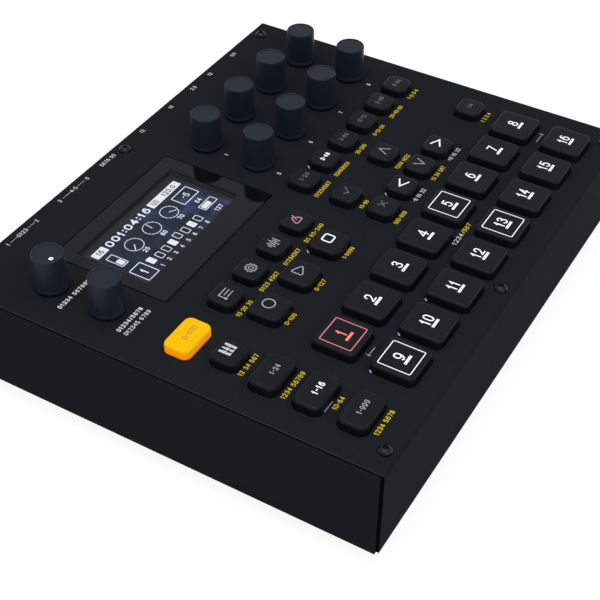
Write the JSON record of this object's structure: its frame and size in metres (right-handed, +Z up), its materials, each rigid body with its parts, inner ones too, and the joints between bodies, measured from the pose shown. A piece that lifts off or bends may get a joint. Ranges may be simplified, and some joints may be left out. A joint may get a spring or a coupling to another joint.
{
  "type": "drum machine",
  "caption": "Desktop drum machine: flat folded-steel case on rubber feet with rows of square step keys, small panel keys, round knobs, a screen window and rear audio sockets.",
  "frame": {"origin": "on the table, under the middle of the machine's bounding box", "axes": "+X to the player's right, +Y to the rear where the sockets are, +Z up out of the control panel"},
  "size_m": [0.215, 0.1774, 0.063],
  "materials": {
    "powder_coat": "fine matte powder coat",
    "window": "polished smoke-tinted",
    "screen": "black moulded holder",
    "board": "circuit board lacquer",
    "foot_rubber": "matte",
    "fastener": "blackened steel",
    "button": "satin",
    "step_key": "satin soft-touch",
    "panel_key": "satin soft-touch",
    "lit_key": "translucent, lit from inside",
    "knob": "fine matte"
  },
  "bodies": {
    "chassis": {"base_case": "powder_coat", "top_cover": "powder_coat", "display_window": "window", "display_module": "screen", "panel_board": "board", "main_board": "board", "rubber_feet": "foot_rubber", "fasteners": "fastener"},
    "power_button": {"power_button": "button"},
    "step_key_1": {"step_key_1": "step_key"},
    "step_key_2": {"step_key_2": "step_key"},
    "step_key_3": {"step_key_3": "step_key"},
    "step_key_4": {"step_key_4": "step_key"},
    "step_key_5": {"step_key_5": "step_key"},
    "step_key_6": {"step_key_6": "step_key"},
    "step_key_7": {"step_key_7": "step_key"},
    "step_key_8": {"step_key_8": "step_key"},
    "step_key_9": {"step_key_9": "step_key"},
    "step_key_10": {"step_key_10": "step_key"},
    "step_key_11": {"step_key_11": "step_key"},
    "step_key_12": {"step_key_12": "step_key"},
    "step_key_13": {"step_key_13": "step_key"},
    "step_key_14": {"step_key_14": "step_key"},
    "step_key_15": {"step_key_15": "step_key"},
    "step_key_16": {"step_key_16": "step_key"},
    "function_key": {"function_key": "lit_key"},
    "keyboard_key": {"keyboard_key": "panel_key"},
    "track_key": {"track_key": "panel_key"},
    "pattern_key": {"pattern_key": "panel_key"},
    "song_key": {"song_key": "panel_key"},
    "kit_key": {"kit_key": "panel_key"},
    "settings_key": {"settings_key": "panel_key"},
    "sampling_key": {"sampling_key": "panel_key"},
    "tempo_key": {"tempo_key": "panel_key"},
    "record_key": {"record_key": "panel_key"},
    "play_key": {"play_key": "panel_key"},
    "stop_key": {"stop_key": "panel_key"},
    "trigger_page_key": {"trigger_page_key": "panel_key"},
    "source_page_key": {"source_page_key": "panel_key"},
    "filter_page_key": {"filter_page_key": "panel_key"},
    "level_page_key": {"level_page_key": "panel_key"},
    "effects_page_key": {"effects_page_key": "panel_key"},
    "modulation_page_key": {"modulation_page_key": "panel_key"},
    "accept_key": {"accept_key": "panel_key"},
    "cancel_key": {"cancel_key": "panel_key"},
    "up_key": {"up_key": "panel_key"},
    "left_key": {"left_key": "panel_key"},
    "down_key": {"down_key": "panel_key"},
    "right_key": {"right_key": "panel_key"},
    "pattern_page_key": {"pattern_page_key": "panel_key"},
    "volume_knob": {"volume_knob": "knob"},
    "level_knob": {"level_knob": "knob"},
    "data_knob_a": {"data_knob_a": "knob"},
    "data_knob_b": {"data_knob_b": "knob"},
    "data_knob_c": {"data_knob_c": "knob"},
    "data_knob_d": {"data_knob_d": "knob"},
    "data_knob_e": {"data_knob_e": "knob"},
    "data_knob_f": {"data_knob_f": "knob"},
    "data_knob_g": {"data_knob_g": "knob"},
    "data_knob_h": {"data_knob_h": "knob"}
  },
  "joints": [
    {"name": "power_button_press", "type": "slide", "parent": "chassis", "child": "power_button", "axis": [0, -1, 0], "range_m": [0, 0.0012], "stiffness_N_per_m": 400, "springref_m": -0.001},
    {"name": "step_key_1_press", "type": "slide", "parent": "chassis", "child": "step_key_1", "axis": [0, 0, -1], "range_m": [0, 0.001], "stiffness_N_per_m": 300, "springref_m": -0.001},
    {"name": "step_key_2_press", "type": "slide", "parent": "chassis", "child": "step_key_2", "axis": [0, 0, -1], "range_m": [0, 0.001], "stiffness_N_per_m": 300, "springref_m": -0.001},
    {"name": "step_key_3_press", "type": "slide", "parent": "chassis", "child": "step_key_3", "axis": [0, 0, -1], "range_m": [0, 0.001], "stiffness_N_per_m": 300, "springref_m": -0.001},
    {"name": "step_key_4_press", "type": "slide", "parent": "chassis", "child": "step_key_4", "axis": [0, 0, -1], "range_m": [0, 0.001], "stiffness_N_per_m": 300, "springref_m": -0.001},
    {"name": "step_key_5_press", "type": "slide", "parent": "chassis", "child": "step_key_5", "axis": [0, 0, -1], "range_m": [0, 0.001], "stiffness_N_per_m": 300, "springref_m": -0.001},
    {"name": "step_key_6_press", "type": "slide", "parent": "chassis", "child": "step_key_6", "axis": [0, 0, -1], "range_m": [0, 0.001], "stiffness_N_per_m": 300, "springref_m": -0.001},
    {"name": "step_key_7_press", "type": "slide", "parent": "chassis", "child": "step_key_7", "axis": [0, 0, -1], "range_m": [0, 0.001], "stiffness_N_per_m": 300, "springref_m": -0.001},
    {"name": "step_key_8_press", "type": "slide", "parent": "chassis", "child": "step_key_8", "axis": [0, 0, -1], "range_m": [0, 0.001], "stiffness_N_per_m": 300, "springref_m": -0.001},
    {"name": "step_key_9_press", "type": "slide", "parent": "chassis", "child": "step_key_9", "axis": [0, 0, -1], "range_m": [0, 0.001], "stiffness_N_per_m": 300, "springref_m": -0.001},
    {"name": "step_key_10_press", "type": "slide", "parent": "chassis", "child": "step_key_10", "axis": [0, 0, -1], "range_m": [0, 0.001], "stiffness_N_per_m": 300, "springref_m": -0.001},
    {"name": "step_key_11_press", "type": "slide", "parent": "chassis", "child": "step_key_11", "axis": [0, 0, -1], "range_m": [0, 0.001], "stiffness_N_per_m": 300, "springref_m": -0.001},
    {"name": "step_key_12_press", "type": "slide", "parent": "chassis", "child": "step_key_12", "axis": [0, 0, -1], "range_m": [0, 0.001], "stiffness_N_per_m": 300, "springref_m": -0.001},
    {"name": "step_key_13_press", "type": "slide", "parent": "chassis", "child": "step_key_13", "axis": [0, 0, -1], "range_m": [0, 0.001], "stiffness_N_per_m": 300, "springref_m": -0.001},
    {"name": "step_key_14_press", "type": "slide", "parent": "chassis", "child": "step_key_14", "axis": [0, 0, -1], "range_m": [0, 0.001], "stiffness_N_per_m": 300, "springref_m": -0.001},
    {"name": "step_key_15_press", "type": "slide", "parent": "chassis", "child": "step_key_15", "axis": [0, 0, -1], "range_m": [0, 0.001], "stiffness_N_per_m": 300, "springref_m": -0.001},
    {"name": "step_key_16_press", "type": "slide", "parent": "chassis", "child": "step_key_16", "axis": [0, 0, -1], "range_m": [0, 0.001], "stiffness_N_per_m": 300, "springref_m": -0.001},
    {"name": "function_key_press", "type": "slide", "parent": "chassis", "child": "function_key", "axis": [0, 0, -1], "range_m": [0, 0.001], "stiffness_N_per_m": 300, "springref_m": -0.001},
    {"name": "keyboard_key_press", "type": "slide", "parent": "chassis", "child": "keyboard_key", "axis": [0, 0, -1], "range_m": [0, 0.001], "stiffness_N_per_m": 300, "springref_m": -0.001},
    {"name": "track_key_press", "type": "slide", "parent": "chassis", "child": "track_key", "axis": [0, 0, -1], "range_m": [0, 0.001], "stiffness_N_per_m": 300, "springref_m": -0.001},
    {"name": "pattern_key_press", "type": "slide", "parent": "chassis", "child": "pattern_key", "axis": [0, 0, -1], "range_m": [0, 0.001], "stiffness_N_per_m": 300, "springref_m": -0.001},
    {"name": "song_key_press", "type": "slide", "parent": "chassis", "child": "song_key", "axis": [0, 0, -1], "range_m": [0, 0.001], "stiffness_N_per_m": 300, "springref_m": -0.001},
    {"name": "kit_key_press", "type": "slide", "parent": "chassis", "child": "kit_key", "axis": [0, 0, -1], "range_m": [0, 0.001], "stiffness_N_per_m": 300, "springref_m": -0.001},
    {"name": "settings_key_press", "type": "slide", "parent": "chassis", "child": "settings_key", "axis": [0, 0, -1], "range_m": [0, 0.001], "stiffness_N_per_m": 300, "springref_m": -0.001},
    {"name": "sampling_key_press", "type": "slide", "parent": "chassis", "child": "sampling_key", "axis": [0, 0, -1], "range_m": [0, 0.001], "stiffness_N_per_m": 300, "springref_m": -0.001},
    {"name": "tempo_key_press", "type": "slide", "parent": "chassis", "child": "tempo_key", "axis": [0, 0, -1], "range_m": [0, 0.001], "stiffness_N_per_m": 300, "springref_m": -0.001},
    {"name": "record_key_press", "type": "slide", "parent": "chassis", "child": "record_key", "axis": [0, 0, -1], "range_m": [0, 0.001], "stiffness_N_per_m": 300, "springref_m": -0.001},
    {"name": "play_key_press", "type": "slide", "parent": "chassis", "child": "play_key", "axis": [0, 0, -1], "range_m": [0, 0.001], "stiffness_N_per_m": 300, "springref_m": -0.001},
    {"name": "stop_key_press", "type": "slide", "parent": "chassis", "child": "stop_key", "axis": [0, 0, -1], "range_m": [0, 0.001], "stiffness_N_per_m": 300, "springref_m": -0.001},
    {"name": "trigger_page_key_press", "type": "slide", "parent": "chassis", "child": "trigger_page_key", "axis": [0, 0, -1], "range_m": [0, 0.001], "stiffness_N_per_m": 300, "springref_m": -0.001},
    {"name": "source_page_key_press", "type": "slide", "parent": "chassis", "child": "source_page_key", "axis": [0, 0, -1], "range_m": [0, 0.001], "stiffness_N_per_m": 300, "springref_m": -0.001},
    {"name": "filter_page_key_press", "type": "slide", "parent": "chassis", "child": "filter_page_key", "axis": [0, 0, -1], "range_m": [0, 0.001], "stiffness_N_per_m": 300, "springref_m": -0.001},
    {"name": "level_page_key_press", "type": "slide", "parent": "chassis", "child": "level_page_key", "axis": [0, 0, -1], "range_m": [0, 0.001], "stiffness_N_per_m": 300, "springref_m": -0.001},
    {"name": "effects_page_key_press", "type": "slide", "parent": "chassis", "child": "effects_page_key", "axis": [0, 0, -1], "range_m": [0, 0.001], "stiffness_N_per_m": 300, "springref_m": -0.001},
    {"name": "modulation_page_key_press", "type": "slide", "parent": "chassis", "child": "modulation_page_key", "axis": [0, 0, -1], "range_m": [0, 0.001], "stiffness_N_per_m": 300, "springref_m": -0.001},
    {"name": "accept_key_press", "type": "slide", "parent": "chassis", "child": "accept_key", "axis": [0, 0, -1], "range_m": [0, 0.001], "stiffness_N_per_m": 300, "springref_m": -0.001},
    {"name": "cancel_key_press", "type": "slide", "parent": "chassis", "child": "cancel_key", "axis": [0, 0, -1], "range_m": [0, 0.001], "stiffness_N_per_m": 300, "springref_m": -0.001},
    {"name": "up_key_press", "type": "slide", "parent": "chassis", "child": "up_key", "axis": [0, 0, -1], "range_m": [0, 0.001], "stiffness_N_per_m": 300, "springref_m": -0.001},
    {"name": "left_key_press", "type": "slide", "parent": "chassis", "child": "left_key", "axis": [0, 0, -1], "range_m": [0, 0.001], "stiffness_N_per_m": 300, "springref_m": -0.001},
    {"name": "down_key_press", "type": "slide", "parent": "chassis", "child": "down_key", "axis": [0, 0, -1], "range_m": [0, 0.001], "stiffness_N_per_m": 300, "springref_m": -0.001},
    {"name": "right_key_press", "type": "slide", "parent": "chassis", "child": "right_key", "axis": [0, 0, -1], "range_m": [0, 0.001], "stiffness_N_per_m": 300, "springref_m": -0.001},
    {"name": "pattern_page_key_press", "type": "slide", "parent": "chassis", "child": "pattern_page_key", "axis": [0, 0, -1], "range_m": [0, 0.001], "stiffness_N_per_m": 300, "springref_m": -0.001},
    {"name": "volume_knob_turn", "type": "hinge", "parent": "chassis", "child": "volume_knob", "pos_m": [-0.0891, 0.0549, 0.0476], "axis": [0, 0, 1], "range_deg": [-300, 0]},
    {"name": "level_knob_turn", "type": "hinge", "parent": "chassis", "child": "level_knob", "pos_m": [-0.0891, 0.0303, 0.0476], "axis": [0, 0, 1], "continuous": true},
    {"name": "data_knob_a_turn", "type": "hinge", "parent": "chassis", "child": "data_knob_a", "pos_m": [0.0122, 0.0553, 0.0476], "axis": [0, 0, 1], "continuous": true},
    {"name": "data_knob_b_turn", "type": "hinge", "parent": "chassis", "child": "data_knob_b", "pos_m": [0.0374, 0.0553, 0.0476], "axis": [0, 0, 1], "continuous": true},
    {"name": "data_knob_c_turn", "type": "hinge", "parent": "chassis", "child": "data_knob_c", "pos_m": [0.0626, 0.0553, 0.0476], "axis": [0, 0, 1], "continuous": true},
    {"name": "data_knob_d_turn", "type": "hinge", "parent": "chassis", "child": "data_knob_d", "pos_m": [0.0878, 0.0553, 0.0476], "axis": [0, 0, 1], "continuous": true},
    {"name": "data_knob_e_turn", "type": "hinge", "parent": "chassis", "child": "data_knob_e", "pos_m": [0.0122, 0.0305, 0.0476], "axis": [0, 0, 1], "continuous": true},
    {"name": "data_knob_f_turn", "type": "hinge", "parent": "chassis", "child": "data_knob_f", "pos_m": [0.0374, 0.0305, 0.0476], "axis": [0, 0, 1], "continuous": true},
    {"name": "data_knob_g_turn", "type": "hinge", "parent": "chassis", "child": "data_knob_g", "pos_m": [0.0626, 0.0305, 0.0476], "axis": [0, 0, 1], "continuous": true},
    {"name": "data_knob_h_turn", "type": "hinge", "parent": "chassis", "child": "data_knob_h", "pos_m": [0.0878, 0.0305, 0.0476], "axis": [0, 0, 1], "continuous": true}
  ]
}
